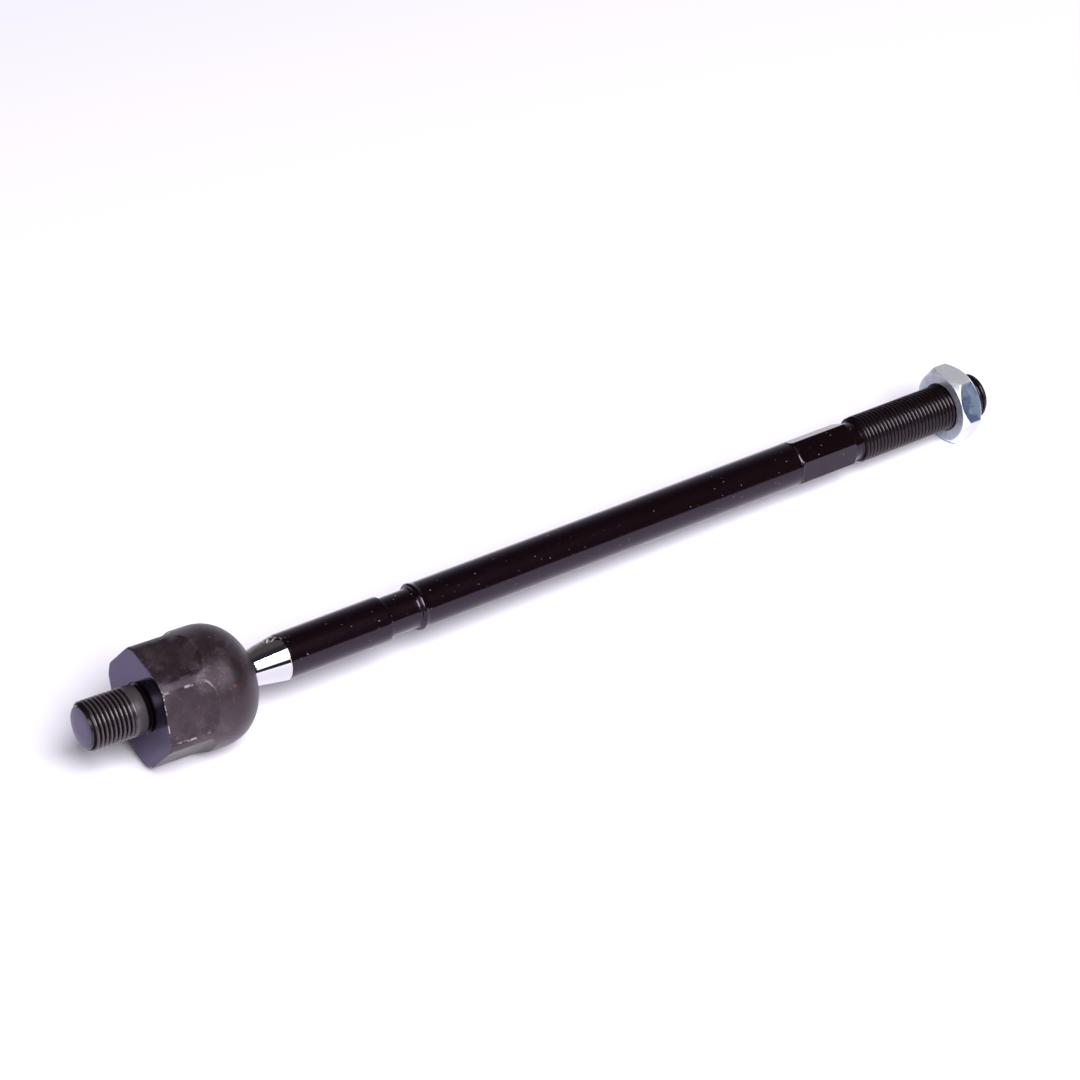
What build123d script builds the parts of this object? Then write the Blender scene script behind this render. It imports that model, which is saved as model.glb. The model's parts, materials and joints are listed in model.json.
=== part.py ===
from build123d import *
import os
from math import asin, atan, cos, radians, sin, sqrt

# Inner tie rod. All sizes are in millimetres.
# The origin is the centre of the housing's hexagon face, which seats on the rack.
# The part lies on a floor: the housing rests on its dome and the rod on the jam nut.

# Ball, seat and spring washer, from which the housing takes its size
BALL_R = 13.5
POLE_FLAT_DEPTH = 0.2
SEAT_CLEARANCE = 0.08
SEAT_THICKNESS = 2.24
SEAT_BASE_THICKNESS = 2.02
SEAT_RIM_DROP = 6.0
SEAT_HOLE_R = 5.0
SLOT_COUNT = 6
SLOT_WIDTH = 1.6
SLOT_DEPTH = 10.5
SPRING_HEIGHT = 1.15
SPRING_THICKNESS = 0.75
SPRING_EDGE_GAP = 3.9
SPRING_HOLE_LAP = 1.0
SPRING_PLAY = 0.02

# Housing, measured along its own axis from the hexagon face
HOUSING_TILT = 3.86
BASE_THICKNESS = 6.25
HOUSING_WALL = 3.5
FLAT_DEPTH = 1.9
FLAT_LENGTH = 13.8
FLAT_RUNOUT_R = 4.0
HEX_ROLL = 11.4
FACE_CHAMFER = 0.5
DOME_LEAD = 0.1
MOUTH_ANGLE = 49.15
LIP_LENGTH = 1.0
LIP_FLARE = 0.42
LIP_THICKNESS = 0.57

# Threaded stud on the housing
THREAD_R = 8.0
STUD_LENGTH = 20.1
STUD_CHAMFER = 1.5
RELIEF_DEPTH = 0.8
RELIEF_WIDTH = 1.2
RELIEF_SINK = 0.3

# Rod, measured along its own axis from the ball centre
NECK_FILLET_R = 1.5
NECK_R = 5.6
NECK_LENGTH = 4.79
NECK_TAPER = 8.8
SHAFT_R = 7.5
FIRST_STRETCH = 37.2
GROOVE_WIDTH = 11.4
GROOVE_DEPTH = 1.0
BEAD_WIDTH = 2.6
BEAD_HEIGHT = 0.35
MAIN_STRETCH = 148.5
WRENCH_LENGTH = 22.5
WRENCH_DEPTH = 0.5
WRENCH_END_TAPER = 1.4
UNDERCUT_WIDTH = 2.5
UNDERCUT_DEPTH = 1.5
ROD_THREAD_LENGTH = 54.1
TIP_CHAMFER = 0.8

# Jam nut
NUT_HEIGHT = 8.0
TIP_REACH = 6.9
NUT_WALL = 4.0
NUT_CHAMFER = 1.9
THREAD_CLEARANCE = 0.05

# Sizes of the housing that follow from the ball and its seat
cavity_r = BALL_R + SEAT_THICKNESS + 2 * SEAT_CLEARANCE
housing_r = cavity_r + HOUSING_WALL
seat_base = BASE_THICKNESS + SPRING_HEIGHT
ball_t = seat_base + SEAT_BASE_THICKNESS + BALL_R + SEAT_CLEARANCE
mouth_t = ball_t + cavity_r * cos(radians(MOUTH_ANGLE))
mouth_r = cavity_r * sin(radians(MOUTH_ANGLE))
lip_t = mouth_t + LIP_LENGTH
lip_r = mouth_r + LIP_FLARE
dome_start = ball_t + DOME_LEAD
dome_end_r = lip_r + LIP_THICKNESS
dome_run = lip_t - dome_start
dome_fall = housing_r - dome_end_r
dome_arc_r = (dome_run**2 + dome_fall**2) / (2 * dome_fall)
dome_centre_r = housing_r - dome_arc_r

# Stations along the rod
fillet_r = NECK_R + NECK_FILLET_R
fillet_s = sqrt((BALL_R + NECK_FILLET_R) ** 2 - fillet_r**2)
neck_end = fillet_s + NECK_LENGTH
shaft_start = neck_end + NECK_TAPER
groove_start = shaft_start + FIRST_STRETCH
groove_end = groove_start + GROOVE_WIDTH
bead_end = groove_end + BEAD_WIDTH
shaft_end = bead_end + MAIN_STRETCH
wrench_end = shaft_end + WRENCH_LENGTH
undercut_start = wrench_end + WRENCH_END_TAPER
undercut_end = undercut_start + UNDERCUT_WIDTH
rod_end = undercut_end + ROD_THREAD_LENGTH
nut_end = rod_end - TIP_REACH
nut_start = nut_end - NUT_HEIGHT
nut_r = THREAD_R + NUT_WALL

# Directions: the housing axis and the rod axis both lie in the XZ plane
tilt_h = radians(HOUSING_TILT)
housing_dir = (cos(tilt_h), 0, -sin(tilt_h))
ball_centre = (ball_t * cos(tilt_h), 0, -ball_t * sin(tilt_h))

# The rod dips until the far edge of the nut is as low as the dome
ball_height = dome_arc_r + dome_centre_r * cos(tilt_h) + DOME_LEAD * sin(tilt_h)
rod_tilt = asin(ball_height / sqrt(nut_end**2 + nut_r**2)) - atan(nut_r / nut_end)
rod_dir = (cos(rod_tilt), 0, -sin(rod_tilt))

housing_plane = Plane(origin=(0, 0, 0), x_dir=housing_dir, z_dir=(0, -1, 0))
rod_plane = Plane(origin=ball_centre, x_dir=rod_dir, z_dir=(0, -1, 0))
housing_axis = Axis((0, 0, 0), housing_dir)
rod_axis = Axis(ball_centre, rod_dir)


def plane_round(origin, direction, angle):
    # A plane through the axis whose y direction points out at this angle from the side
    a = radians(angle)
    out = (-direction[2] * sin(a), cos(a), direction[0] * sin(a))
    across = (
        -direction[2] * out[1],
        direction[2] * out[0] - direction[0] * out[2],
        direction[0] * out[1],
    )
    return Plane(origin=origin, x_dir=direction, z_dir=across)


# Housing with its stud
with BuildPart() as housing:
    with BuildSketch(housing_plane):
        with BuildLine():
            Polyline(
                (mouth_t, 0),
                (-STUD_LENGTH, 0),
                (-STUD_LENGTH, THREAD_R - STUD_CHAMFER),
                (-STUD_LENGTH + STUD_CHAMFER, THREAD_R),
                (-RELIEF_WIDTH, THREAD_R),
                (-RELIEF_WIDTH, THREAD_R - RELIEF_DEPTH),
                (RELIEF_SINK, THREAD_R - RELIEF_DEPTH),
                (RELIEF_SINK, THREAD_R),
                (0, THREAD_R + RELIEF_SINK),
                (0, housing_r - FACE_CHAMFER),
                (FACE_CHAMFER, housing_r),
                (dome_start, housing_r),
            )
            ThreePointArc(
                (dome_start, housing_r),
                (
                    dome_start + dome_arc_r * sin(radians(30)),
                    dome_centre_r + dome_arc_r * cos(radians(30)),
                ),
                (lip_t, dome_end_r),
            )
            ThreePointArc(
                (lip_t, dome_end_r),
                (lip_t + 0.22, lip_r + LIP_THICKNESS / 2),
                (lip_t + 0.1, lip_r),
            )
            Polyline(
                (lip_t + 0.1, lip_r),
                (mouth_t, mouth_r),
                (mouth_t, 0),
            )
        make_face()
    revolve(axis=housing_axis)
    # Cavity for the ball and its seat
    with BuildSketch(housing_plane):
        half_angle = radians((90 + MOUTH_ANGLE) / 2)
        with BuildLine():
            Polyline(
                (mouth_t + 0.01, 0),
                (BASE_THICKNESS, 0),
                (BASE_THICKNESS, cavity_r),
                (ball_t, cavity_r),
            )
            ThreePointArc(
                (ball_t, cavity_r),
                (ball_t + cavity_r * cos(half_angle), cavity_r * sin(half_angle)),
                (mouth_t, mouth_r),
            )
            Polyline(
                (mouth_t, mouth_r),
                (mouth_t + 0.01, mouth_r),
                (mouth_t + 0.01, 0),
            )
        make_face()
    revolve(axis=housing_axis, mode=Mode.SUBTRACT)
    # Six milled flats, each with the cutter's run-out at its end
    flat_r = housing_r - FLAT_DEPTH
    rise = FLAT_DEPTH + 1
    runout = sqrt(2 * FLAT_RUNOUT_R * rise - rise**2)
    for k in range(6):
        with BuildSketch(plane_round((0, 0, 0), housing_dir, HEX_ROLL + 30 + 60 * k)):
            with BuildLine():
                Polyline(
                    (FLAT_LENGTH + runout, flat_r + rise),
                    (-1, flat_r + rise),
                    (-1, flat_r),
                    (FLAT_LENGTH, flat_r),
                )
                ThreePointArc(
                    (FLAT_LENGTH, flat_r),
                    (
                        FLAT_LENGTH + FLAT_RUNOUT_R * sin(radians(25)),
                        flat_r + FLAT_RUNOUT_R * (1 - cos(radians(25))),
                    ),
                    (FLAT_LENGTH + runout, flat_r + rise),
                )
            make_face()
        extrude(amount=flat_r, both=True, mode=Mode.SUBTRACT)
housing.part.label = "housing"

# Slotted ball seat
seat_ball_r = BALL_R + SEAT_CLEARANCE
seat_r = seat_ball_r + SEAT_THICKNESS
rim_z = BALL_R - SEAT_RIM_DROP
rim_t = ball_t + rim_z
rim_outer = sqrt(seat_r**2 - rim_z**2)
rim_inner = sqrt(seat_ball_r**2 - rim_z**2)
hole_t = ball_t - sqrt(seat_ball_r**2 - SEAT_HOLE_R**2)
seat_chamfer = 0.6

with BuildPart() as ball_seat:
    with BuildSketch(housing_plane):
        with BuildLine():
            Polyline(
                (hole_t, SEAT_HOLE_R),
                (seat_base, SEAT_HOLE_R),
                (seat_base, seat_r - seat_chamfer),
                (seat_base + seat_chamfer, seat_r),
                (ball_t, seat_r),
            )
            ThreePointArc(
                (ball_t, seat_r),
                (ball_t + rim_z / 2, sqrt(seat_r**2 - (rim_z / 2) ** 2)),
                (rim_t, rim_outer),
            )
            Line((rim_t, rim_outer), (rim_t, rim_inner))
            ThreePointArc((rim_t, rim_inner), (ball_t, seat_ball_r), (hole_t, SEAT_HOLE_R))
        make_face()
    revolve(axis=housing_axis)
    slot_t = rim_t - SLOT_DEPTH
    slot_inner = rim_inner - 2
    slot_outer = seat_r + 1
    slot_origin = (slot_t * housing_dir[0], 0, slot_t * housing_dir[2])
    with BuildSketch(Plane(origin=slot_origin, x_dir=(0, 1, 0), z_dir=housing_dir)):
        with PolarLocations((slot_inner + slot_outer) / 2, SLOT_COUNT):
            Rectangle(slot_outer - slot_inner, SLOT_WIDTH)
    extrude(amount=SLOT_DEPTH + 1, mode=Mode.SUBTRACT)
ball_seat.part.label = "ball_seat"

# Conical spring washer between the cavity floor and the seat
spring_r = cavity_r - SPRING_EDGE_GAP
spring_hole_r = SEAT_HOLE_R + SPRING_HOLE_LAP
spring_top = seat_base - SPRING_PLAY

with BuildPart() as preload_spring:
    with BuildSketch(housing_plane):
        with BuildLine():
            Polyline(
                (BASE_THICKNESS, spring_r),
                (BASE_THICKNESS + SPRING_THICKNESS, spring_r),
                (spring_top, spring_hole_r),
                (spring_top - SPRING_THICKNESS, spring_hole_r),
                close=True,
            )
        make_face()
    revolve(axis=housing_axis)
preload_spring.part.label = "preload_spring"

# Rod with its ball
pole_z = BALL_R - POLE_FLAT_DEPTH
pole_r = sqrt(BALL_R**2 - pole_z**2)
tangent_s = fillet_s * BALL_R / (BALL_R + NECK_FILLET_R)
tangent_r = fillet_r * BALL_R / (BALL_R + NECK_FILLET_R)
groove_r = SHAFT_R - GROOVE_DEPTH
bead_r = SHAFT_R + BEAD_HEIGHT
wrench_r = SHAFT_R - WRENCH_DEPTH
wrench_corner_r = SHAFT_R + WRENCH_DEPTH
undercut_r = THREAD_R - UNDERCUT_DEPTH
tip_r = THREAD_R - TIP_CHAMFER

with BuildPart() as tie_rod:
    with BuildSketch(rod_plane):
        with BuildLine():
            Line((-pole_z, 0), (-pole_z, pole_r))
            ThreePointArc((-pole_z, pole_r), (0, BALL_R), (tangent_s, tangent_r))
            ThreePointArc(
                (tangent_s, tangent_r),
                (
                    fillet_s - NECK_FILLET_R * sin(radians(35)),
                    fillet_r - NECK_FILLET_R * cos(radians(35)),
                ),
                (fillet_s, NECK_R),
            )
            Polyline(
                (fillet_s, NECK_R),
                (neck_end, NECK_R),
                (shaft_start, SHAFT_R),
                (groove_start - 0.2, SHAFT_R),
                (groove_start, SHAFT_R - 0.2),
                (groove_start + 0.3, groove_r),
                (groove_end - 0.2, groove_r),
                (groove_end + 0.1, bead_r - 0.55),
            )
            Spline(
                (groove_end + 0.1, bead_r - 0.55),
                (groove_end + 0.85, bead_r),
                (bead_end - 0.75, bead_r - BEAD_HEIGHT / 2),
                (bead_end, SHAFT_R),
                tangents=((0.3, 1), (1, -0.15)),
            )
            Polyline(
                (bead_end, SHAFT_R),
                (shaft_end, SHAFT_R),
                (shaft_end + 1, wrench_corner_r),
                (wrench_end, wrench_corner_r),
                (undercut_start, undercut_r),
                (undercut_end, undercut_r),
                (undercut_end + 1, THREAD_R),
                (rod_end - 0.35 - TIP_CHAMFER, THREAD_R),
                (rod_end - 0.35, tip_r),
            )
            ThreePointArc(
                (rod_end - 0.35, tip_r),
                (rod_end - 0.1, tip_r - 0.8),
                (rod_end, tip_r - 1.8),
            )
            Line((rod_end, tip_r - 1.8), (rod_end, 0))
            Line((rod_end, 0), (-pole_z, 0))
        make_face()
    revolve(axis=rod_axis)
    # Six wrench flats ahead of the thread
    for k in range(6):
        with BuildSketch(plane_round(ball_centre, rod_dir, 60 * k)):
            with BuildLine():
                Polyline(
                    (shaft_end + 0.1, wrench_r + 0.9),
                    (shaft_end + 0.1, wrench_r + 2),
                    (undercut_start, wrench_r + 2),
                    (undercut_start, wrench_r),
                    (shaft_end + 1, wrench_r),
                )
                ThreePointArc(
                    (shaft_end + 1, wrench_r),
                    (shaft_end + 0.3636, wrench_r + 0.2636),
                    (shaft_end + 0.1, wrench_r + 0.9),
                )
            make_face()
        extrude(amount=wrench_r, both=True, mode=Mode.SUBTRACT)
tie_rod.part.label = "tie_rod"

# Jam nut
nut_corner_r = nut_r / cos(radians(30))
nut_chamfer_r = nut_corner_r - NUT_CHAMFER
chamfer_rise = NUT_CHAMFER + 0.5
bore_r = THREAD_R + THREAD_CLEARANCE
nut_origin = (
    ball_centre[0] + nut_start * rod_dir[0],
    0,
    ball_centre[2] + nut_start * rod_dir[2],
)

with BuildPart() as jam_nut:
    with BuildSketch(Plane(origin=nut_origin, x_dir=(0, 1, 0), z_dir=rod_dir)):
        RegularPolygon(radius=nut_r, side_count=6, major_radius=False)
        Circle(bore_r, mode=Mode.SUBTRACT)
    extrude(amount=NUT_HEIGHT)
    # Chamfer on each corner of the face towards the shaft
    for k in range(6):
        with BuildSketch(plane_round(ball_centre, rod_dir, 60 * k)):
            Polygon(
                (nut_start, nut_chamfer_r),
                (nut_start + chamfer_rise * 0.577, nut_chamfer_r + chamfer_rise),
                (nut_start, nut_chamfer_r + chamfer_rise),
                align=None,
            )
        extrude(amount=nut_r / 2, both=True, mode=Mode.SUBTRACT)
    # Small countersink at each end of the thread
    for end, inward in ((nut_start, 1), (nut_end, -1)):
        with BuildSketch(rod_plane):
            Polygon(
                (end, bore_r - 0.02),
                (end, bore_r + 0.5),
                (end + inward * 0.52, bore_r - 0.02),
                align=None,
            )
        revolve(axis=rod_axis, mode=Mode.SUBTRACT)
jam_nut.part.label = "jam_nut"

os.makedirs("parts", exist_ok=True)
export_step(housing.part, "parts/housing.step")
export_step(ball_seat.part, "parts/ball_seat.step")
export_step(preload_spring.part, "parts/preload_spring.step")
export_step(tie_rod.part, "parts/tie_rod.step")
export_step(jam_nut.part, "parts/jam_nut.step")
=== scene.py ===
import bpy
import bmesh
import json
from math import atan2, ceil, cos, hypot, pi, radians, sin, sqrt, tan
from mathutils import Matrix, Vector


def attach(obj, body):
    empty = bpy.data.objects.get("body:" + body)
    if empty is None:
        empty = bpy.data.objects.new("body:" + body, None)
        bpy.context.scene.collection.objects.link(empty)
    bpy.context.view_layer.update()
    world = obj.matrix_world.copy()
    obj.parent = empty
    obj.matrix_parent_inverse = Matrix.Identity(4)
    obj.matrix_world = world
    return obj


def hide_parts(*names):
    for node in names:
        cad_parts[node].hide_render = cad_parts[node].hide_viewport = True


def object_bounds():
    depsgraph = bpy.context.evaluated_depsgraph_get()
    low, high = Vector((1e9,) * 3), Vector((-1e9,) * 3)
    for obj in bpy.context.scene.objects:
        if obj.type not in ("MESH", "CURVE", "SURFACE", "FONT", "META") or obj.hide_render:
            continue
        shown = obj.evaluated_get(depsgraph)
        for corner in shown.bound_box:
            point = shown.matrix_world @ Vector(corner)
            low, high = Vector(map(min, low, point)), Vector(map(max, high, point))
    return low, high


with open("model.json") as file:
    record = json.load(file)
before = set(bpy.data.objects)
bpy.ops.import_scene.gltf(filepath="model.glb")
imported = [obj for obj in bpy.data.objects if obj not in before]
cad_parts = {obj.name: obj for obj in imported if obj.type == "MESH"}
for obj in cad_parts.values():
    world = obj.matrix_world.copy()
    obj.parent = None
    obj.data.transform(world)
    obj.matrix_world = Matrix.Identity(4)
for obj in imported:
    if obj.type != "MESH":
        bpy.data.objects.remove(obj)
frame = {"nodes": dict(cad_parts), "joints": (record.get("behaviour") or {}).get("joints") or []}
cad_low, cad_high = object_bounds()

# Axes of the part, read from the frame's joints
MM = 0.001
joints = {joint["name"]: joint for joint in frame["joints"]}
BALL = Vector(joints["seat_turn"]["pos_m"])
HOUSING_AXIS = Vector(joints["seat_turn"]["axis"]).normalized()
ROD_AXIS = Vector(joints["nut_travel"]["axis"]).normalized()
FACE_CENTRE = Vector((0, 0, 0))
FLOOR_Z = cad_low[2]
UPRIGHT_SIDE = Vector((0, 1, 0))

# Housing sizes in millimetres, from its hexagon face along its axis
BALL_T = 23.0
HOUSING_R = 19.4
FLAT_R = 17.5
FLAT_LENGTH = 13.8
FLAT_RUNOUT_R = 4.0
HEX_ROLL = 11.4
FACE_CHAMFER = 0.5
FACE_EDGE = 0.2
BASE_THICKNESS = 6.25
CAVITY_R = 15.9
MOUTH_ANGLE = 49.15
DOME_START = 23.1
DOME_R = 13.194
LIP_T = 34.4
LIP_END_R = 13.017
LIP_R = 12.45
RECESS_DEPTH = 0.3
FLAT_EDGE_BLEND = 0.35

# Both threads are M16 x 1.5, and the lacquered crests of the rod's are a little lower
THREAD_R = 8.0
THREAD_ROOT_R = 7.09
PITCH = 1.5
FLANK_TILT = 60.0
STUD_CREST_ROUND = 0.4
ROD_CREST_R = 7.94
ROD_CREST_ROUND = 0.42

# Rack stud sizes in millimetres, from the hexagon face towards the rack
STUD_LENGTH = 20.1
STUD_END_R = 6.75
STUD_TIP_ROUND = 0.35
STUD_RUN_IN = 1.6
STUD_THREAD_END = -4.9
COLLAR_END = -1.2
RELIEF_R = 7.2

# Rod sizes in millimetres, from the ball's centre along the rod
BALL_R = 13.5
NECK_R = 5.7
NECK_FILLET_R = 1.5
NECK_END = 15.8
SHAFT_START = 26.8
SHAFT_R = 7.5
GROOVE_START = 64.0
GROOVE_END = 75.4
GROOVE_R = 6.5
BEAD_END = 78.0
BEAD_R = 7.85
SHAFT_END = 226.5
WRENCH_R = 7.0
WRENCH_CORNER_R = 8.0
WRENCH_END = 249.0
UNDERCUT_START = 250.4
UNDERCUT_END = 252.9
UNDERCUT_R = 6.5
ROD_END = 307.0
TIP_LENGTH = 0.4
BALL_POLE_ANGLE = 8.5
GROOVE_RING_ROUND = 0.85
WRENCH_RUNOUT = 0.9
WRENCH_EDGE_BLEND = 0.16

# Jam nut sizes in millimetres, with its place along the rod
NUT_START = 292.1
NUT_HEIGHT = 8.0
NUT_FLAT_R = 12.0
NUT_CHAMFER_R = 11.88
NUT_CHAMFER_SLOPE = 0.95
NUT_BORE_R = 8.05
NUT_BORE_CHAMFER = 0.5

# Steps in a full turn of each piece, all multiples of six
HOUSING_STEPS = 600
STUD_STEPS = 96
ROD_STEPS = 180
ROD_THREAD_STEPS = 72
NUT_STEPS = 360

# Distances in millimetres under which vertices count as one
SAME_POINT = 0.0005
SAME_THREAD_POINT = 0.002
SAME_FINISHED_POINT = 0.004

# Places on the housing in millimetres
PALE_PATCH_PLACE = (17.2, -13.4, 13.1)
SHADED_PLACE = (24.5, -14.5, 13.0)
RUSTY_PLACE = (23.7, -17.2, 7.3)

# Colours as linear red, green and blue
HOUSING_BLACK = (0.0105, 0.0055, 0.0070)
HOUSING_SMUDGE = (0.042, 0.032, 0.039)
HOUSING_BROWN = (0.0080, 0.0042, 0.0045)
HOUSING_PALE_PATCH = (0.115, 0.098, 0.115)
HOUSING_SHADED = (0.0085, 0.0040, 0.0050)
HOUSING_RUST = (0.085, 0.028, 0.014)
HOUSING_SPECKLE = (0.10, 0.085, 0.095)
HOUSING_GRIT = (0.14, 0.12, 0.135)
# Pale edge marks: partly chipping, partly a painted highlight
HOUSING_NICK_AND_GLINT = (0.36, 0.33, 0.37)
HOUSING_FACE = (0.044, 0.058, 0.081)
STUD_BLACK = (0.0075, 0.0040, 0.0045)
STUD_BROWN = (0.014, 0.009, 0.010)
STUD_CREST = (0.075, 0.062, 0.076)
STUD_COLLAR = (0.055, 0.046, 0.053)
STUD_END_FACE = (0.060, 0.066, 0.098)
LACQUER_BLACK = (0.0034, 0.0012, 0.0016)
LACQUER_SPECK = (0.35, 0.33, 0.34)
# Painted highlight along the front of the paint edge
LACQUER_EDGE_GLINT = (0.95, 0.72, 0.62)
LACQUER_FLAKE = (0.85, 0.82, 0.86)
NECK_STEEL = (0.66, 0.655, 0.68)
NECK_BROWN = (0.21, 0.155, 0.125)
THREAD_BLACK = (0.0030, 0.0012, 0.0015)
THREAD_CREST = (0.012, 0.008, 0.011)
ZINC_COOL = (0.60, 0.62, 0.66)
ZINC_WARM = (0.68, 0.66, 0.66)
ZINC_DEEP_BLUE = (0.11, 0.165, 0.30)
ZINC_LIGHT_BLUE = (0.31, 0.39, 0.52)
ZINC_STAIN = (0.20, 0.21, 0.34)
# Painted sheen for the chamfers
ZINC_BEVEL_SHEEN = (0.80, 0.84, 0.92)
SEAT_WHITE = (0.78, 0.76, 0.70)
SEAT_GREASE = (0.60, 0.55, 0.42)
SPRING_DARK = (0.24, 0.24, 0.27)
SPRING_LIGHT = (0.34, 0.34, 0.36)
DIM_ROOM = (0.026, 0.024, 0.030)
BRIGHT_WALL = (0.72, 0.73, 0.86)

# Painted shade down in a thread's root: a near-black, dull finish with little reflection, mixed over the
# finish of its flanks
ROOT_PAINTED_SHADE = {"Base Color": (0.003, 0.0012, 0.0015, 1), "Roughness": 0.6, "Specular IOR Level": 0.05}


def axis_matrix(origin, direction):
    """Takes a piece's own millimetres, with x along its axis, to its place in the frame."""
    turn = Matrix((direction, UPRIGHT_SIDE, direction.cross(UPRIGHT_SIDE))).transposed().to_4x4()
    return Matrix.Translation(origin) @ turn @ Matrix.Scale(MM, 4)


HOUSING_PLACE = axis_matrix(FACE_CENTRE, HOUSING_AXIS)
ROD_PLACE = axis_matrix(BALL, ROD_AXIS)


def smooth_min(a, b, width):
    """The smaller of two values, with a round passage where they are closer than the width."""
    near = max(width - abs(a - b), 0.0) / width
    return min(a, b) - near * near * width / 4


def from_flat(angle, offset):
    """Angle in radians from the middle of the nearest of six flats."""
    return (angle - offset + pi / 6) % (pi / 3) - pi / 6


def arc(centre, radius, start, end, count):
    """Profile points on an arc, from one angle to the other in degrees from the axis."""
    angles = [radians(start + (end - start) * k / count) for k in range(count + 1)]
    return [(centre[0] + radius * cos(a), centre[1] + radius * sin(a)) for a in angles]


def steps_between(start, end, step):
    """Even stations from start to end, no further apart than the step."""
    count = max(1, ceil(abs(end - start) / step))
    return [start + (end - start) * k / count for k in range(count + 1)]


def spin_profile(bm, points, steps):
    """Turns a profile of (along, radius) points about the x axis: a sixth of a turn, six times."""
    part = bmesh.new()
    verts = [part.verts.new((x, r, 0.0)) for x, r in points]
    edges = [part.edges.new(pair) for pair in zip(verts, verts[1:])]
    bmesh.ops.spin(
        part, geom=verts + edges, axis=(1, 0, 0), angle=pi / 3, steps=steps // 6, use_merge=False
    )
    copy_on(bm, part, [Matrix.Rotation(pi / 3 * k, 4, "X") for k in range(6)])


def copy_on(bm, part, places):
    """Adds a copy of a part mesh at each place, and joins the copies where they meet."""
    bmesh.ops.remove_doubles(part, verts=part.verts, dist=SAME_POINT)
    mesh = bpy.data.meshes.new("part")
    for place in places:
        moved = part.copy()
        moved.transform(place)
        moved.to_mesh(mesh)
        moved.free()
        bm.from_mesh(mesh)
    part.free()
    bpy.data.meshes.remove(mesh)
    bmesh.ops.remove_doubles(bm, verts=bm.verts, dist=SAME_POINT)


def reshape(bm, shape):
    """Moves every vertex to the (along, radius) that shape gives for its along, radius and angle."""
    for v in bm.verts:
        radius = hypot(v.co.y, v.co.z)
        angle = atan2(v.co.z, v.co.y)
        x, r = shape(v.co.x, radius, angle)
        v.co = (x, r * cos(angle), r * sin(angle))


def finish_piece(name, bm, place, body, nodes, material, sharp=38):
    """Joins a mesh, puts it in its place in the frame and hangs it on its body."""
    bmesh.ops.remove_doubles(bm, verts=bm.verts, dist=SAME_FINISHED_POINT)
    bmesh.ops.dissolve_degenerate(bm, edges=bm.edges, dist=0.001)
    bmesh.ops.recalc_face_normals(bm, faces=bm.faces)
    bm.transform(place)
    mesh = bpy.data.meshes.new(name)
    bm.to_mesh(mesh)
    bm.free()
    mesh.shade_smooth()
    mesh.set_sharp_from_angle(angle=radians(sharp))
    mesh.materials.append(material)
    piece = bpy.data.objects.new(name, mesh)
    bpy.context.scene.collection.objects.link(piece)
    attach(piece, body)
    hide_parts(*nodes)


# Shader maths


class Link:
    """A socket of a finish that takes part in sums."""

    def __init__(self, finish, socket):
        self.finish = finish
        self.socket = socket

    def _sum(self, operation, first, second):
        return self.finish.add("ShaderNodeMath", {0: first, 1: second}, operation=operation)

    def __add__(self, other):
        return self._sum("ADD", self, other)

    def __radd__(self, other):
        return self._sum("ADD", other, self)

    def __sub__(self, other):
        return self._sum("SUBTRACT", self, other)

    def __rsub__(self, other):
        return self._sum("SUBTRACT", other, self)

    def __mul__(self, other):
        return self._sum("MULTIPLY", self, other)

    def __rmul__(self, other):
        return self._sum("MULTIPLY", other, self)

    def __truediv__(self, other):
        return self._sum("DIVIDE", self, other)

    def __pow__(self, other):
        return self._sum("POWER", self, other)

    def most(self, other):
        return self._sum("MAXIMUM", self, other)

    def wave(self):
        return self._sum("SINE", self, 0)

    def ramp(self, low, high):
        """0 below low and 1 above high, with a smooth rise between."""
        return self.finish.add(
            "ShaderNodeMapRange",
            {"Value": self, "From Min": low, "From Max": high},
            interpolation_type="SMOOTHSTEP",
        )


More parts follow.
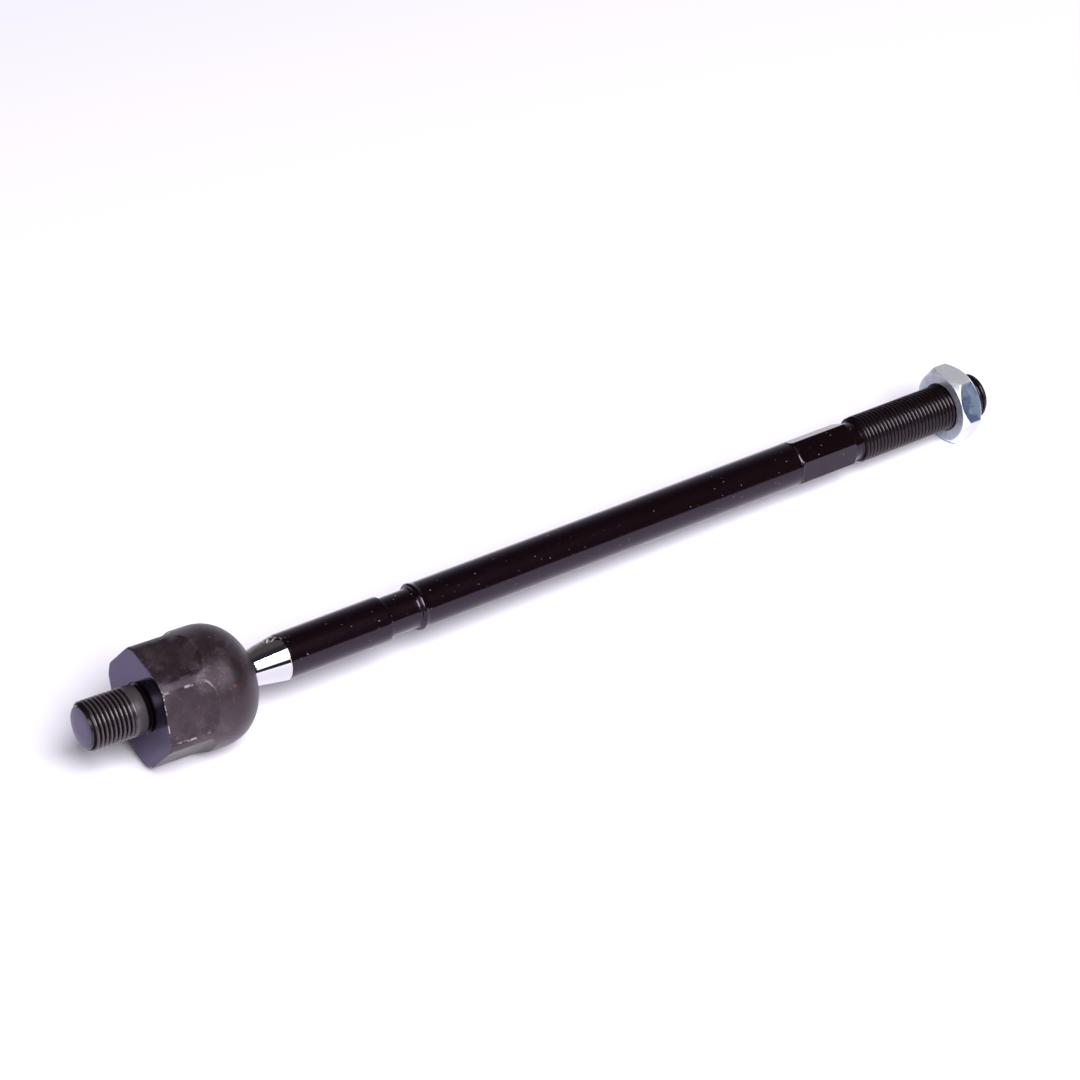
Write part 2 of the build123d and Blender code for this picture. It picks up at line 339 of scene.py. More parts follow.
class Finish:
    """A material, or the world, built node by node."""

    def __init__(self, name, tree=None):
        if tree is None:
            self.material = bpy.data.materials.new(name)
            self.material.use_nodes = True
            tree = self.material.node_tree
        self.tree = tree
        tree.nodes.clear()

    def add(self, kind, inputs=None, output=0, **settings):
        """Any node: its settings first, then the values or links of its sockets."""
        node = self.tree.nodes.new(kind)
        for key, value in settings.items():
            setattr(node, key, value)
        for key, value in (inputs or {}).items():
            if isinstance(value, Link):
                self.tree.links.new(value.socket, node.inputs[key])
            else:
                node.inputs[key].default_value = value
        return Link(self, node.outputs[output]) if len(node.outputs) else None

    def place(self):
        return self.add("ShaderNodeTexCoord", output="Object")

    def noise(self, scale, detail=3.0, roughness=0.55):
        inputs = {"Scale": scale, "Detail": detail, "Roughness": roughness, "Vector": self.place()}
        return self.add("ShaderNodeTexNoise", inputs, output="Fac")

    def attribute(self, name):
        return self.add("ShaderNodeAttribute", output="Fac", attribute_name=name)

    def mix(self, factor, first, second):
        """Mixes two colours."""

        def full(colour):
            return (*colour, 1.0) if isinstance(colour, tuple) else colour

        return self.add(
            "ShaderNodeMix",
            {0: factor, 6: full(first), 7: full(second)},
            output=2,
            data_type="RGBA",
        )

    def vector(self, operation, first, second, output="Vector"):
        return self.add("ShaderNodeVectorMath", {0: first, 1: second}, output=output, operation=operation)

    def along(self, origin, axis):
        """Millimetres along an axis of the part."""
        offset = self.vector("SUBTRACT", self.place(), origin)
        return self.vector("DOT_PRODUCT", offset, axis, output="Value") * (1 / MM)

    def off_axis(self, origin, axis):
        """Millimetres out from an axis of the part."""
        offset = self.vector("SUBTRACT", self.place(), origin)
        cross = self.vector("CROSS_PRODUCT", offset, axis)
        return self.vector("LENGTH", cross, (0, 0, 0), output="Value") * (1 / MM)

    def bump(self, height, strength, distance):
        return self.add("ShaderNodeBump", {"Height": height, "Strength": strength, "Distance": distance})

    def near(self, point, inner, outer):
        """1 within the inner distance of a point of the part, 0 beyond the outer one, all in millimetres."""
        middle = tuple(v * MM for v in point)
        gap = self.vector("DISTANCE", self.place(), middle, output="Value")
        return 1 - gap.ramp(inner * MM, outer * MM)

    def surface(self, inputs, second=None, share=0.0):
        """Ends the finish with one shader, or with two shared out by a factor."""
        shader = self.add("ShaderNodeBsdfPrincipled", inputs)
        if second:
            other = self.add("ShaderNodeBsdfPrincipled", second)
            shader = self.add("ShaderNodeMixShader", {0: share, 1: shader, 2: other})
        self.add("ShaderNodeOutputMaterial", {"Surface": shader})
        return self.material


# Finishes


def housing_steel():
    """Dark phosphated steel with smudges, speckle, a paler patch, a patch of painted shade, rust, chipped
    edges that also carry a painted highlight, and a turned face.
    """
    f = Finish("housing_steel")
    face = f.attribute("face")
    edge = f.attribute("edge")
    smudge = f.noise(120, 5, 0.65)
    cloud = f.noise(60, 3, 0.5)
    speckle = f.noise(1500, 2, 0.5)
    grit = f.noise(650, 2, 0.5)
    colour = f.mix(smudge.ramp(0.44, 0.68), HOUSING_BLACK, HOUSING_SMUDGE)
    colour = f.mix(cloud.ramp(0.48, 0.64) * 0.75, colour, HOUSING_BROWN)
    # A paler patch broken up by noise round one place on the round body
    pale_patch = f.near(PALE_PATCH_PLACE, 0.5, 7.5) * f.noise(240, 5, 0.72).ramp(0.44, 0.66)
    colour = f.mix(pale_patch * 0.75, colour, HOUSING_PALE_PATCH)
    shade = f.near(SHADED_PLACE, 2, 12) * f.noise(90, 4, 0.6).ramp(0.35, 0.6)
    colour = f.mix(shade * 0.7, colour, HOUSING_SHADED)
    rust = f.near(RUSTY_PLACE, 1, 5) * f.noise(420, 3, 0.6).ramp(0.54, 0.66)
    colour = f.mix(rust * 0.7, colour, HOUSING_RUST)
    colour = f.mix(speckle.ramp(0.62, 0.76) * 0.3, colour, HOUSING_SPECKLE)
    colour = f.mix(grit.ramp(0.70, 0.76) * 0.35, colour, HOUSING_GRIT)
    # Pale marks along the edges: partly chipping of the finish, partly a painted highlight where the edges
    # catch the light
    patchy = f.noise(210, 3, 0.6).ramp(0.46, 0.6)
    nick_and_glint = edge * (patchy * f.noise(800, 3, 0.7)).ramp(0.26, 0.48)
    colour = f.mix(nick_and_glint * 0.8, colour, HOUSING_NICK_AND_GLINT)
    colour = f.mix(face, colour, HOUSING_FACE)
    turning = (f.off_axis(FACE_CENTRE, HOUSING_AXIS) * 28.0).wave() * face
    rough = 0.40 + (smudge - 0.5) * 0.35 - face * 0.24
    height = f.noise(900, 4, 0.6) * (1 - face) + turning * 0.05
    return f.surface({
        "Base Color": colour,
        "Roughness": rough,
        "Metallic": face,
        "IOR": 1.55,
        "Specular Tint": (1.0, 0.80, 1.0, 1),
        "Normal": f.bump(height, 0.35, 0.00005),
    })


def stud_steel():
    """Brown-black oiled thread with paler crests and painted shade in its roots, a smooth collar and a
    machined end.
    """
    f = Finish("stud_steel")
    crest = f.attribute("crest")
    smooth = f.attribute("smooth")
    face = f.attribute("face")
    colour = f.mix(f.noise(300, 3).ramp(0.4, 0.7), STUD_BLACK, STUD_BROWN)
    colour = f.mix(crest * 0.5, colour, STUD_CREST)
    colour = f.mix(smooth * 0.6, colour, STUD_COLLAR)
    colour = f.mix(face, colour, STUD_END_FACE)
    # The roots get painted shade, mixed in by the root attribute
    return f.surface({
        "Base Color": colour,
        "Roughness": 0.23 + smooth * 0.1,
        "Metallic": face,
        "IOR": 1.55,
        "Specular Tint": (1.0, 0.88, 1.0, 1),
        "Normal": f.bump(f.noise(1200, 2), 0.1, 0.00002),
    }, ROOT_PAINTED_SHADE, f.attribute("root").ramp(0.25, 0.75))


def rod_coating():
    """Gloss black lacquer that ends in ragged flakes at the polished steel of the neck and ball, with a
    painted warm highlight along the front of the paint edge.
    """
    f = Finish("rod_coating")
    station = f.along(BALL, ROD_AXIS)
    back_up = ROD_AXIS.cross(UPRIGHT_SIDE) * 0.883 + UPRIGHT_SIDE * 0.469
    lean = f.along(BALL, back_up) / f.off_axis(BALL, ROD_AXIS)
    rear = lean.ramp(0.80, 0.93)
    ragged = (f.noise(700, 4, 0.7) - 0.5) * (0.8 + rear * 5)
    past_edge = station + ragged + rear * 4.2 - SHAFT_START
    bare = 1 - past_edge.ramp(-0.1, 0.08)
    # Painted highlight: a thin warm bright line along the front of the paint edge, where its step would
    # catch the light
    rim = past_edge.ramp(-0.1, 0.0) * (1 - past_edge.ramp(0.04, 0.13)) * (1 - lean.ramp(0.2, 0.6))
    flake = f.noise(1100, 3, 0.65).ramp(0.50, 0.56) * past_edge.ramp(-2.5, -0.3)
    flake = flake * (1 - past_edge.ramp(0.8, 4.5)) * rear
    speck = f.noise(1100, 2, 0.5).ramp(0.735, 0.76)
    colour = f.mix(speck * 0.5, LACQUER_BLACK, LACQUER_SPECK)
    colour = f.mix(rim * 0.7, colour, LACQUER_EDGE_GLINT)
    colour = f.mix(flake * 0.8, colour, LACQUER_FLAKE)
    height = f.noise(500, 3, 0.6) * 0.5 + f.noise(160, 2) * 0.5 + speck * 0.6
    lacquer = {
        "Base Color": colour,
        "Roughness": 0.13 + f.noise(90, 3) * 0.05 + speck * 0.3,
        "IOR": 1.5,
        "Specular Tint": (0.86, 0.71, 1.0, 1),
        "Normal": f.bump(height, 0.12, 0.00003),
    }
    # Browner, duller and less metallic steel towards the upper rear of the neck
    brown_top = lean.ramp(0.55, 0.85) * (0.6 + f.noise(320, 3, 0.6).ramp(0.4, 0.6) * 0.4)
    steel = {
        "Base Color": f.mix(brown_top, NECK_STEEL, NECK_BROWN),
        "Roughness": 0.07 + brown_top * 0.2,
        "Metallic": 1 - brown_top * 0.12,
        "Normal": f.bump(f.noise(240, 2), 0.15, 0.00003),
    }
    return f.surface(lacquer, steel, bare)


def rod_thread_coating():
    """Black lacquer over the rod's thread, thinner on the crests, with painted shade in the roots."""
    f = Finish("rod_thread_coating")
    thin = f.attribute("crest") * f.noise(400, 3).ramp(0.35, 0.65)
    colour = f.mix(thin * 0.5, THREAD_BLACK, THREAD_CREST)
    # The roots get painted shade, mixed in by the root attribute
    return f.surface({
        "Base Color": colour,
        "Roughness": 0.15 + f.noise(300, 2) * 0.05,
        "IOR": 1.45,
        "Specular Tint": (1.0, 0.82, 1.0, 1),
    }, ROOT_PAINTED_SHADE, f.attribute("root").ramp(0.1, 0.6))


def nut_zinc():
    """Bright zinc plate with stains and fine scratches; some flats and the end faces are bluer, partly
    plating tone and partly painted reflection, and the chamfers carry a pale painted sheen.
    """
    f = Finish("nut_zinc")
    blue = f.attribute("blue")
    bevel = f.attribute("bevel")
    tint = f.noise(160, 3, 0.6)
    colour = f.mix(tint.ramp(0.38, 0.62), ZINC_COOL, ZINC_WARM)
    # Bluer zinc on some flats and on the end faces: partly plating tone, partly painted reflection
    colour = f.mix(blue, colour, f.mix(tint.ramp(0.42, 0.58), ZINC_DEEP_BLUE, ZINC_LIGHT_BLUE))
    stain = f.noise(300, 4, 0.65).ramp(0.5, 0.75)
    colour = f.mix(stain * (0.15 + blue * 0.6), colour, ZINC_STAIN)
    # Painted sheen: the chamfers are painted nearly white
    colour = f.mix(bevel, colour, ZINC_BEVEL_SHEEN)
    scratch = f.noise(520, 4, 0.6)
    return f.surface({
        "Base Color": colour,
        "Roughness": 0.34 + (scratch - 0.5) * 0.3 - bevel * 0.1,
        "Metallic": 0.62 + blue * 0.2,
        "Normal": f.bump((scratch + f.noise(190, 2)) * (1 - bevel), 0.12, 0.00004),
    })


def seat_plastic():
    """Off-white bearing plastic, lightly greased."""
    f = Finish("seat_plastic")
    grease = f.noise(180, 3).ramp(0.45, 0.7)
    return f.surface({
        "Base Color": f.mix(grease * 0.5, SEAT_WHITE, SEAT_GREASE),
        "Roughness": 0.42 - grease * 0.22,
        "Normal": f.bump(f.noise(700, 3), 0.1, 0.00003),
    })


def spring_steel():
    """Oiled blue-grey spring steel."""
    f = Finish("spring_steel")
    grain = f.noise(800, 3)
    return f.surface({
        "Base Color": f.mix(grain, SPRING_DARK, SPRING_LIGHT),
        "Roughness": 0.3 + grain * 0.12,
        "Metallic": 1.0,
        "Normal": f.bump(grain, 0.1, 0.00003),
    })


# Housing


def housing_body_r(t):
    """Radius of the turned housing before its flats are milled."""
    if t < FACE_CHAMFER:
        return HOUSING_R - FACE_CHAMFER + t
    if t <= DOME_START:
        return HOUSING_R
    return HOUSING_R - DOME_R + sqrt(max(DOME_R**2 - (t - DOME_START) ** 2, 0))


def housing_flat_r(t):
    """Height of a milled flat above the axis, with the cutter's run-out at its end."""
    over = t - FLAT_LENGTH
    if over <= 0:
        return FLAT_R
    if over >= FLAT_RUNOUT_R:
        return FLAT_R + FLAT_RUNOUT_R
    return FLAT_R + FLAT_RUNOUT_R - sqrt(FLAT_RUNOUT_R**2 - over**2)


def housing_wall_r(t, angle):
    """Radius of the housing with its six flats, and the eased edge at its face."""
    flat = housing_flat_r(t) / cos(from_flat(angle, pi / 6))
    fall = 0.0
    if t < FACE_EDGE:
        fall = FACE_EDGE - sqrt(FACE_EDGE**2 - (FACE_EDGE - t) ** 2)
    return smooth_min(housing_body_r(t), flat, FLAT_EDGE_BLEND) - fall


def mark_housing(bm):
    """Attributes for the machined face and for the edges, where pale chipping and a painted highlight are
    strongest round one flat.
    """
    face_layer = bm.verts.layers.float.new("face")
    edge_layer = bm.verts.layers.float.new("edge")
    for v in bm.verts:
        t = v.co.x
        r = hypot(v.co.y, v.co.z)
        angle = atan2(v.co.z, v.co.y)
        v[face_layer] = 1.0 if t < 0.02 and r < housing_wall_r(0.0, angle) + 0.05 else 0.0
        if r < FLAT_R - 0.3 or t > 19:
            continue
        step = abs(housing_flat_r(t) / cos(from_flat(angle, pi / 6)) - housing_body_r(t))
        rim = 1 - min(abs(t - 0.1) / 0.4, 1)
        # One flat gets nearly all of it, as its edges also carry the painted highlight
        toward = abs((angle + radians(HEX_ROLL) - radians(161.4) + pi) % (2 * pi) - pi)
        wear_and_glint = (1.0 if toward < radians(28.5) else 0.12) * (1 - 0.5 * min(max((t - 9) / 5, 0), 1))
        v[edge_layer] = wear_and_glint * max(1 - min(step / 0.24, 1), rim)


def make_housing(material):
    """Hexagon, dome and rolled lip, with the cavity behind it and the recess round the stud."""
    bm = bmesh.new()
    inner = THREAD_R + RECESS_DEPTH
    face = [(0.0, inner + (HOUSING_R - inner) * k / 10) for k in range(11)]
    heights = [0.012, 0.045, 0.1, 0.2, 0.35, 0.5, 0.7, 1.0]
    heights += steps_between(2.0, FLAT_LENGTH - 0.4, 1.2)
    heights += steps_between(FLAT_LENGTH, 17.6, 0.13)
    heights += steps_between(18.2, DOME_START, 1.0)
    wall = [(t, HOUSING_R) for t in heights]
    dome = [DOME_START + DOME_R * sin(radians(2.6 * k)) for k in range(1, 23)]
    wall += [(t, HOUSING_R) for t in dome if t < LIP_T - 0.1]
    wall += [(LIP_T, HOUSING_R)]
    spin_profile(bm, face + wall, HOUSING_STEPS)

    def shape(t, r, angle):
        if t > 1e-6:
            return t, housing_wall_r(t, angle)
        share = (r - inner) / (HOUSING_R - inner)
        return 0.0, inner + share * (housing_wall_r(0.0, angle) - inner)

    reshape(bm, shape)
    # Lip, mouth, cavity and the recess round the stud, all plain turned
    lip_mid = (LIP_T + 0.2, (LIP_END_R + LIP_R) / 2)
    inside = [(LIP_T, housing_body_r(LIP_T)), (LIP_T + 0.12, LIP_END_R - 0.1), lip_mid]
    inside += [(LIP_T + 0.18, LIP_R + 0.08), (LIP_T + 0.1, LIP_R)]
    inside += arc((BALL_T, 0), CAVITY_R, MOUTH_ANGLE, 90, 14)
    inside += [(BASE_THICKNESS + 0.4, CAVITY_R), (BASE_THICKNESS, CAVITY_R - 0.4)]
    inside += [(BASE_THICKNESS, 8.0), (BASE_THICKNESS, 0.0)]
    spin_profile(bm, inside, HOUSING_STEPS)
    recess = [(0.0, inner), (RECESS_DEPTH, THREAD_R), (RECESS_DEPTH, 4.0), (RECESS_DEPTH, 0.0)]
    spin_profile(bm, recess, HOUSING_STEPS)
    bmesh.ops.remove_doubles(bm, verts=bm.verts, dist=SAME_POINT)
    mark_housing(bm)
    bm.transform(Matrix.Rotation(radians(HEX_ROLL), 4, "X"))
    finish_piece(
        "housing_forging", bm, HOUSING_PLACE, "housing_body", ["housing"], material
    )


# Threads


def tooth(crest_r, crest_round):
    """One pitch of a thread as (along, radius), from root to root, with a round crest and a sharp root."""
    root_r = crest_r + crest_round - PITCH / 2 * tan(radians(FLANK_TILT)) + 0.02
    crest = arc((PITCH / 2, crest_r - crest_round), crest_round, 90 + FLANK_TILT, 90 - FLANK_TILT, 8)
    return [(0, root_r), (0.03, root_r + 0.02)] + crest + [(PITCH - 0.03, root_r + 0.02), (PITCH, root_r)]


def add_thread(bm, start, end, limits, crest_r, crest_round, steps):
    """A helical thread between two stations. limits gives the least and the largest radius at a station.
    They are equal at both ends, where the last turns are drawn in to a plain ring."""
    turns = ceil((end - start) / PITCH) + 2
    part = bmesh.new()
    verts = [part.verts.new((start - PITCH + x, r, 0.0)) for x, r in tooth(crest_r, crest_round)]
    edges = [part.edges.new(pair) for pair in zip(verts, verts[1:])]
    advance = (PITCH / steps, 0, 0)
    bmesh.ops.spin(part, geom=verts + edges, axis=(1, 0, 0), dvec=advance, angle=2 * pi, steps=steps)
    copy_on(bm, part, [Matrix.Translation((PITCH * k, 0, 0)) for k in range(turns)])

    def shape(t, r, angle):
        place = min(max(t, start), end)
        low, high = limits(place)
        return place, min(max(r, low), high)

    reshape(bm, shape)


def mark_crests(bm, crest_r, smooth=None):
    """Attributes for the crests, the roots that get painted shade, and a smooth stretch between two
    stations.
    """
    crest_layer = bm.verts.layers.float.new("crest")
    root_layer = bm.verts.layers.float.new("root")
    smooth_layer = bm.verts.layers.float.new("smooth")
    for v in bm.verts:
        r = hypot(v.co.y, v.co.z)
        v[crest_layer] = min(max((r - crest_r + 0.22) / 0.2, 0), 1)
        v[root_layer] = min(max((crest_r - 0.2 - r) / 0.5, 0), 1) if r > crest_r - 1 else 0.0
        if smooth and smooth[0] < v.co.x < smooth[1]:
            v[smooth_layer] = 1.0
            v[crest_layer] = 0.0
            v[root_layer] = 0.0


def make_stud(material):
    """Rack stud: chamfered end, thread, plain collar and the relief neck at the face."""
    end = -STUD_LENGTH
    thread_start = end + STUD_TIP_ROUND
    bm = bmesh.new()

    def limits(t):
        if t <= thread_start:
            return STUD_END_R, STUD_END_R
        if t >= STUD_THREAD_END:
            return THREAD_R, THREAD_R
        run_out = max(0.0, t - (STUD_THREAD_END - STUD_RUN_IN)) / STUD_RUN_IN
        low = THREAD_ROOT_R + (THREAD_R - THREAD_ROOT_R) * run_out
        if t < end + STUD_RUN_IN:
            low = STUD_END_R
        high = min(STUD_END_R + (t - thread_start) * 1.05, THREAD_R)
        return min(low, high), high

    add_thread(bm, thread_start, STUD_THREAD_END, limits, THREAD_R, STUD_CREST_ROUND, STUD_STEPS)
    bmesh.ops.remove_doubles(bm, verts=bm.verts, dist=SAME_THREAD_POINT)
    tip = [(end, 0.0), (end, 3.0), (end, STUD_END_R - STUD_TIP_ROUND)]
    tip += [(end + 0.05, STUD_END_R - 0.18), (end + 0.16, STUD_END_R - 0.06), (thread_start, STUD_END_R)]
    collar = [(STUD_THREAD_END, THREAD_R), (STUD_THREAD_END + 1, THREAD_R), (COLLAR_END - 0.22, THREAD_R)]
    collar += [(COLLAR_END - 0.07, THREAD_R - 0.06), (COLLAR_END, THREAD_R - 0.22)]
    collar += [(COLLAR_END, RELIEF_R + 0.15), (COLLAR_END + 0.15, RELIEF_R), (0.6, RELIEF_R), (0.6, 0.0)]
    spin_profile(bm, tip, STUD_STEPS)
    spin_profile(bm, collar, STUD_STEPS)
    bmesh.ops.remove_doubles(bm, verts=bm.verts, dist=SAME_THREAD_POINT)
    mark_crests(bm, THREAD_R, (STUD_THREAD_END, COLLAR_END + 0.02))
    end_layer = bm.verts.layers.float.new("face")
    for v in bm.verts:
        v[end_layer] = 1.0 if v.co.x < end + 0.02 else 0.0
    finish_piece(
        "rack_thread", bm, HOUSING_PLACE, "housing_body", ["housing"], material, sharp=50
    )


def make_rod_thread(material):
    """Thread of the rod's outer end, from the undercut to the domed tip."""
    start = UNDERCUT_END
    end = ROD_END - TIP_LENGTH
    tip_r = THREAD_ROOT_R
    bm = bmesh.new()

    def limits(t):
        if t <= start:
            return UNDERCUT_R, UNDERCUT_R
        if t >= end:
            return tip_r, tip_r
        high = min(UNDERCUT_R + (t - start) * 1.1, ROD_CREST_R, tip_r + (end - t) * 0.9)
        return min(tip_r, high), high

    add_thread(bm, start, end, limits, ROD_CREST_R, ROD_CREST_ROUND, ROD_THREAD_STEPS)
    bmesh.ops.remove_doubles(bm, verts=bm.verts, dist=SAME_THREAD_POINT)
    root = [(start - 0.6, 0.0), (start - 0.6, UNDERCUT_R - 0.1)]
    root += [(start, UNDERCUT_R - 0.1), (start, UNDERCUT_R)]
    tip = [(end, tip_r), (ROD_END - 0.18, tip_r - 0.5), (ROD_END - 0.04, tip_r - 1.2)]
    tip += [(ROD_END, tip_r - 2.0), (ROD_END, 2.0), (ROD_END, 0.0)]
    spin_profile(bm, root, ROD_THREAD_STEPS)
    spin_profile(bm, tip, ROD_THREAD_STEPS)
    bmesh.ops.remove_doubles(bm, verts=bm.verts, dist=SAME_THREAD_POINT)
    mark_crests(bm, ROD_CREST_R)
    finish_piece("rod_thread", bm, ROD_PLACE, "rod_body", ["tie_rod"], material, sharp=50)


# Rod


def make_rod(material):
    """Ball, neck, shaft with its boot groove and ring, wrench flats and undercut, in one piece."""
    fillet_r = NECK_R + NECK_FILLET_R
    fillet_s = sqrt((BALL_R + NECK_FILLET_R) ** 2 - fillet_r**2)
    meet = atan2(fillet_r, fillet_s) * 180 / pi
    points = [(-BALL_R * cos(radians(BALL_POLE_ANGLE)), 0.0)]
    points += arc((0, 0), BALL_R, 180 - BALL_POLE_ANGLE, meet, 34)
    points += arc((fillet_s, fillet_r), NECK_FILLET_R, 180 + meet, 270, 6)[1:]
    points += [(NECK_END - 0.8, NECK_R), (NECK_END, NECK_R + 0.04), (NECK_END + 0.8, NECK_R + 0.13)]
    points += [(SHAFT_START - 0.6, SHAFT_R - 0.1), (SHAFT_START - 0.1, SHAFT_R - 0.03)]
    points += [(SHAFT_START + 0.05, SHAFT_R), (SHAFT_START + 1, SHAFT_R)]
    points += [(s, SHAFT_R) for s in steps_between(SHAFT_START + 4, GROOVE_START - 1.5, 6)]
    points += [(GROOVE_START - 0.35, SHAFT_R), (GROOVE_START - 0.12, SHAFT_R - 0.06)]
    points += [(GROOVE_START, SHAFT_R - 0.22), (GROOVE_START + 0.22, GROOVE_R + 0.18)]
    points += [(GROOVE_START + 0.45, GROOVE_R + 0.02), (GROOVE_START + 0.8, GROOVE_R)]
    points += [(s, GROOVE_R) for s in steps_between(GROOVE_START + 2, GROOVE_END - 2, 2)]
    points += [(GROOVE_END - 0.6, GROOVE_R), (GROOVE_END - 0.25, GROOVE_R + 0.05)]
    points += [(GROOVE_END - 0.02, GROOVE_R + 0.25)]
    points += arc((GROOVE_END + 0.95, BEAD_R - GROOVE_RING_ROUND), GROOVE_RING_ROUND, 180, 62, 9)
    points += [(BEAD_END - 0.8, SHAFT_R + 0.15), (BEAD_END - 0.4, SHAFT_R + 0.05)]
    points += [(BEAD_END - 0.1, SHAFT_R + 0.01), (BEAD_END + 0.3, SHAFT_R)]
    points += [(s, SHAFT_R) for s in steps_between(BEAD_END + 3, SHAFT_END - 2, 12)]
    points += [(SHAFT_END - 0.4, SHAFT_R), (SHAFT_END, SHAFT_R - 0.01)]
    wrench = steps_between(SHAFT_END + 0.1, SHAFT_END + 1.3, 0.1)
    wrench += steps_between(SHAFT_END + 2.5, WRENCH_END - 1, 2.5)
    wrench += steps_between(WRENCH_END - 0.3, UNDERCUT_START - 0.05, 0.12)
    points += [(s, WRENCH_CORNER_R) for s in wrench]
    points += [(UNDERCUT_START, UNDERCUT_R), (UNDERCUT_START + 0.6, UNDERCUT_R)]
    points += [(UNDERCUT_END + 0.4, UNDERCUT_R), (UNDERCUT_END + 0.4, 0.0)]
    bm = bmesh.new()
    spin_profile(bm, points, ROD_STEPS)
    taper = (WRENCH_CORNER_R - UNDERCUT_R) / (UNDERCUT_START - WRENCH_END)

    def shape(s, r, angle):
        if not SHAFT_END < s < UNDERCUT_START - 1e-4 or r < 1:
            return s, r
        over = max(WRENCH_RUNOUT - (s - SHAFT_END - 0.1), 0.0)
        flat = WRENCH_R + WRENCH_RUNOUT - sqrt(max(WRENCH_RUNOUT**2 - over**2, 0))
        rise = SHAFT_R + (s - SHAFT_END) * 0.5
        corner = min(rise, WRENCH_CORNER_R, UNDERCUT_R + (UNDERCUT_START - s) * taper)
        return s, smooth_min(corner, flat / cos(from_flat(angle, 0.0)), WRENCH_EDGE_BLEND)

    reshape(bm, shape)
    finish_piece("rod_bar", bm, ROD_PLACE, "rod_body", ["tie_rod"], material)


# Jam nut


def nut_cone_r(depth):
    return NUT_CHAMFER_R + depth / NUT_CHAMFER_SLOPE


def nut_hexagon_r(angle):
    return NUT_FLAT_R / cos(from_flat(angle, pi / 2))


def nut_wall_r(depth, angle):
    """Radius of the nut at a depth below the nearer end face, with rounded corners and chamfer edge."""
    flat = smooth_min(nut_hexagon_r(angle), NUT_FLAT_R / cos(pi / 6) - 0.08, 0.3)
    return smooth_min(nut_cone_r(depth), flat, 0.14)


def mark_nut(bm):
    """Attributes for the chamfers, and for where the zinc is painted bluer, partly plating tone and partly
    painted reflection: every other flat, and the end faces, more towards one side.
    """
    blue_layer = bm.verts.layers.float.new("blue")
    bevel_layer = bm.verts.layers.float.new("bevel")
    for v in bm.verts:
        angle = atan2(v.co.z, v.co.y)
        turned = (angle - pi / 2) % (2 * pi / 3)
        depth = min(v.co.x - NUT_START, NUT_START + NUT_HEIGHT - v.co.x)
        outside = hypot(v.co.y, v.co.z) > NUT_BORE_R + 1
        on_bevel = depth > 0.01 and nut_cone_r(depth) < nut_hexagon_r(angle) and outside
        v[bevel_layer] = 1.0 if on_bevel else 0.0
        v[blue_layer] = 1.0 if pi / 6 < turned < pi / 2 and depth > 0.01 and not on_bevel else 0.0
        # The end faces are painted bluer towards one side, a painted reflection
        if depth < 0.01:
            v[blue_layer] = 0.35 + 0.4 * max(sin(angle + 2.6), 0)


def make_nut(material):
    """Hexagon nut with a chamfer at both ends, outside and in the bore."""
    end = NUT_START + NUT_HEIGHT
    mouth = NUT_BORE_R + NUT_BORE_CHAMFER
    rings = [0.0, 0.04, 0.1, 0.17] + steps_between(0.25, 1.95, 0.085)
    middle = NUT_START + NUT_HEIGHT / 2
    sides = [NUT_START + d for d in rings] + [NUT_START + 2.2, middle, end - 2.2]
    sides += [end - d for d in reversed(rings)]
    outer = [(s, NUT_FLAT_R) for s in sides]
    face = [(NUT_START, mouth + (NUT_FLAT_R - mouth) * k / 6) for k in range(6)]
    far = [(end, r) for s, r in reversed(face)]
    hole = [(end - NUT_BORE_CHAMFER, NUT_BORE_R), (middle, NUT_BORE_R)]
    hole += [(NUT_START + NUT_BORE_CHAMFER, NUT_BORE_R), (NUT_START, mouth)]
    bm = bmesh.new()
    spin_profile(bm, face + outer + far + hole, NUT_STEPS)

    def shape(s, r, angle):
        depth = min(s - NUT_START, end - s)
        if r < mouth - 0.05:
            return s, r
        if depth > 1e-5:
            return s, nut_wall_r(depth, angle)
        share = (r - mouth) / (NUT_FLAT_R - mouth)
        return s, mouth + share * (nut_wall_r(0.0, angle) - 0.04 - mouth)

    reshape(bm, shape)
    mark_nut(bm)
    finish_piece("lock_nut", bm, ROD_PLACE, "nut_body", ["jam_nut"], material, sharp=30)


# Studio


def make_floor():
    """A plain pale sheet under the part."""
    bm = bmesh.new()
    bmesh.ops.create_grid(bm, x_segments=1, y_segments=1, size=1.5)
    bm.transform(Matrix.Translation((0.15, 0, FLOOR_Z)))
    mesh = bpy.data.meshes.new("floor")
    bm.to_mesh(mesh)
    bm.free()
    paper = {"Base Color": (0.85, 0.82, 0.91, 1), "Roughness": 0.9, "Specular IOR Level": 0.1}
    mesh.materials.append(Finish("floor_paper").surface(paper))
    floor = bpy.data.objects.new("floor", mesh)
    bpy.context.scene.collection.objects.link(floor)


def make_softbox(name, toward, distance, width, height, power, only_shine=False):
    """An area light that stands off in a direction and faces the part. One that is only a shine is seen
    in glossy surfaces and lights nothing."""
    light = bpy.data.lights.new(name, "AREA")
    light.shape = "RECTANGLE"
    light.size = width
    light.size_y = height
    light.energy = power
    lamp = bpy.data.objects.new(name, light)
    bpy.context.scene.collection.objects.link(lamp)
    middle = Vector((0.14, 0, 0))
    direction = Vector(toward).normalized()
    lamp.location = middle + direction * distance
    lamp.rotation_euler = direction.to_track_quat("Z", "Y").to_euler()
    lamp.visible_diffuse = not only_shine


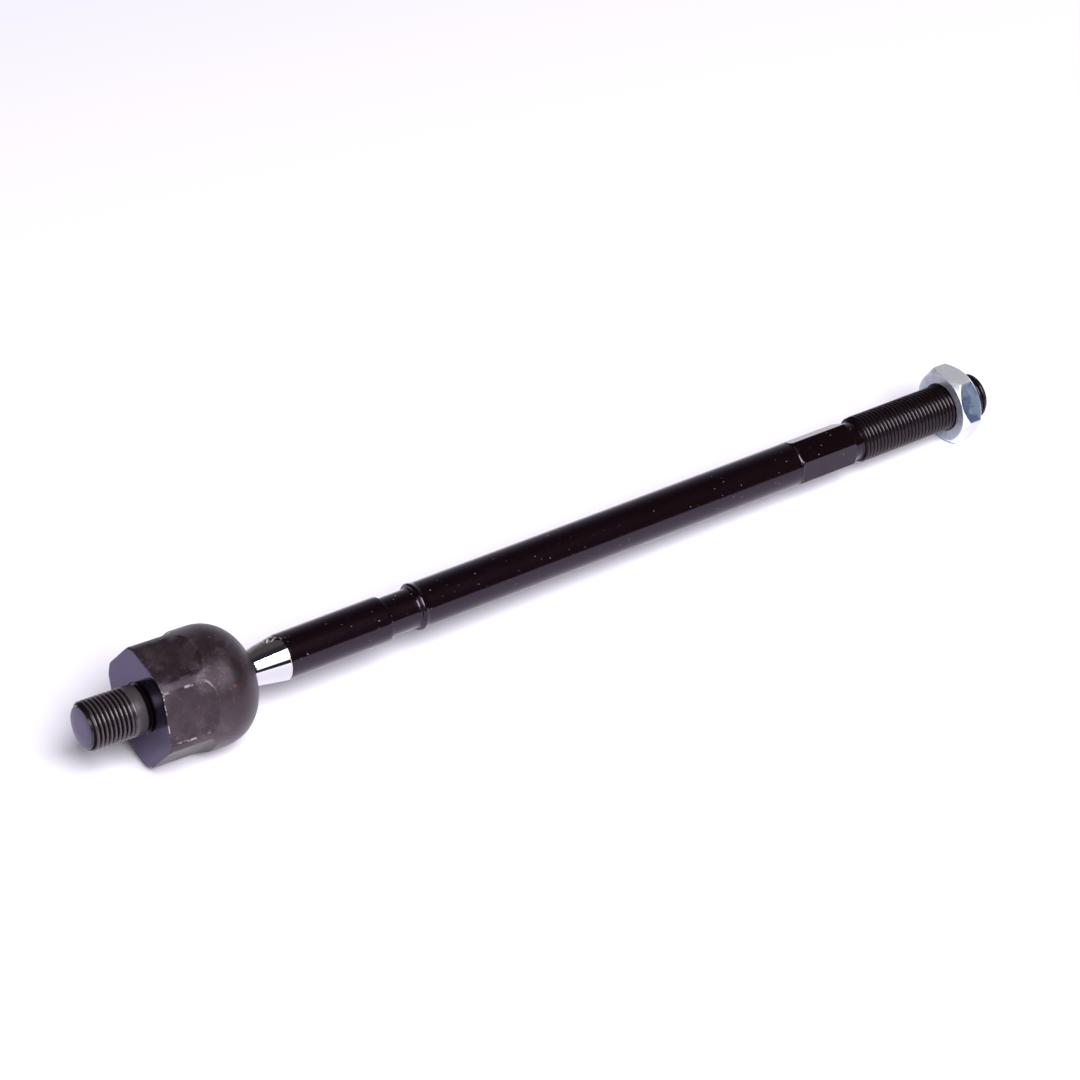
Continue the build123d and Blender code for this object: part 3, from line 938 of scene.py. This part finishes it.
def make_world():
    """A dim room with a bright wall behind the part."""
    world = bpy.data.worlds.new("studio")
    bpy.context.scene.world = world
    world.use_nodes = True
    f = Finish("studio", world.node_tree)
    look = f.add("ShaderNodeTexCoord", output="Generated")
    behind = f.vector("DOT_PRODUCT", look, (0.70, 0.71, 0.0), output="Value")
    height = f.vector("DOT_PRODUCT", look, (0, 0, 1), output="Value")
    wall = behind.ramp(0.45, 0.9) * (1 - height.most(0)) ** 1.4
    colour = f.mix(wall, DIM_ROOM, BRIGHT_WALL)
    background = f.add("ShaderNodeBackground", {"Color": colour, "Strength": 1.0})
    f.add("ShaderNodeOutputWorld", {"Surface": background})


def make_camera():
    """The photograph's viewpoint: its direction, and the pixel and distance at which it sees the ball."""
    turn = radians(34.91)
    rise = radians(35.06)
    focal_px = 3861.0
    ball_px = (204.87, 685.99)
    image_px = 1080.0
    ball_depth = 1.1797
    sensor = 36.0
    right = Vector((cos(turn), -sin(turn), 0))
    back = Vector((-sin(turn) * cos(rise), -cos(turn) * cos(rise), sin(rise)))
    up = back.cross(right)
    across = (ball_px[0] - image_px / 2) / focal_px * ball_depth
    down = (ball_px[1] - image_px / 2) / focal_px * ball_depth
    data = bpy.data.cameras.new("camera")
    data.sensor_width = sensor
    data.sensor_fit = "HORIZONTAL"
    data.lens = focal_px / image_px * sensor
    camera = bpy.data.objects.new("camera", data)
    bpy.context.scene.collection.objects.link(camera)
    place = BALL + back * ball_depth - right * across + up * down
    camera.matrix_world = Matrix.Translation(place) @ Matrix((right, up, back)).transposed().to_4x4()
    bpy.context.scene.camera = camera


make_housing(housing_steel())
make_stud(stud_steel())
make_rod(rod_coating())
make_rod_thread(rod_thread_coating())
make_nut(nut_zinc())
for node, material in (("ball_seat", seat_plastic()), ("preload_spring", spring_steel())):
    materials = frame["nodes"][node].data.materials
    materials.clear()
    materials.append(material)

make_floor()
make_world()
make_softbox("front_softbox", (-0.08, -0.67, 0.74), 3.0, 2.1, 2.0, 190)
make_softbox("low_fill", (-0.08, -0.93, 0.37), 3.0, 2.1, 0.5, 6)
make_softbox("left_panel", (-0.95, -0.08, 0.25), 2.0, 0.9, 0.9, 9, only_shine=True)
make_softbox("mid_panel", (-0.66, -0.46, 0.60), 2.5, 1.2, 0.8, 10, only_shine=True)
make_camera()
bpy.context.scene.view_settings.view_transform = "Standard"
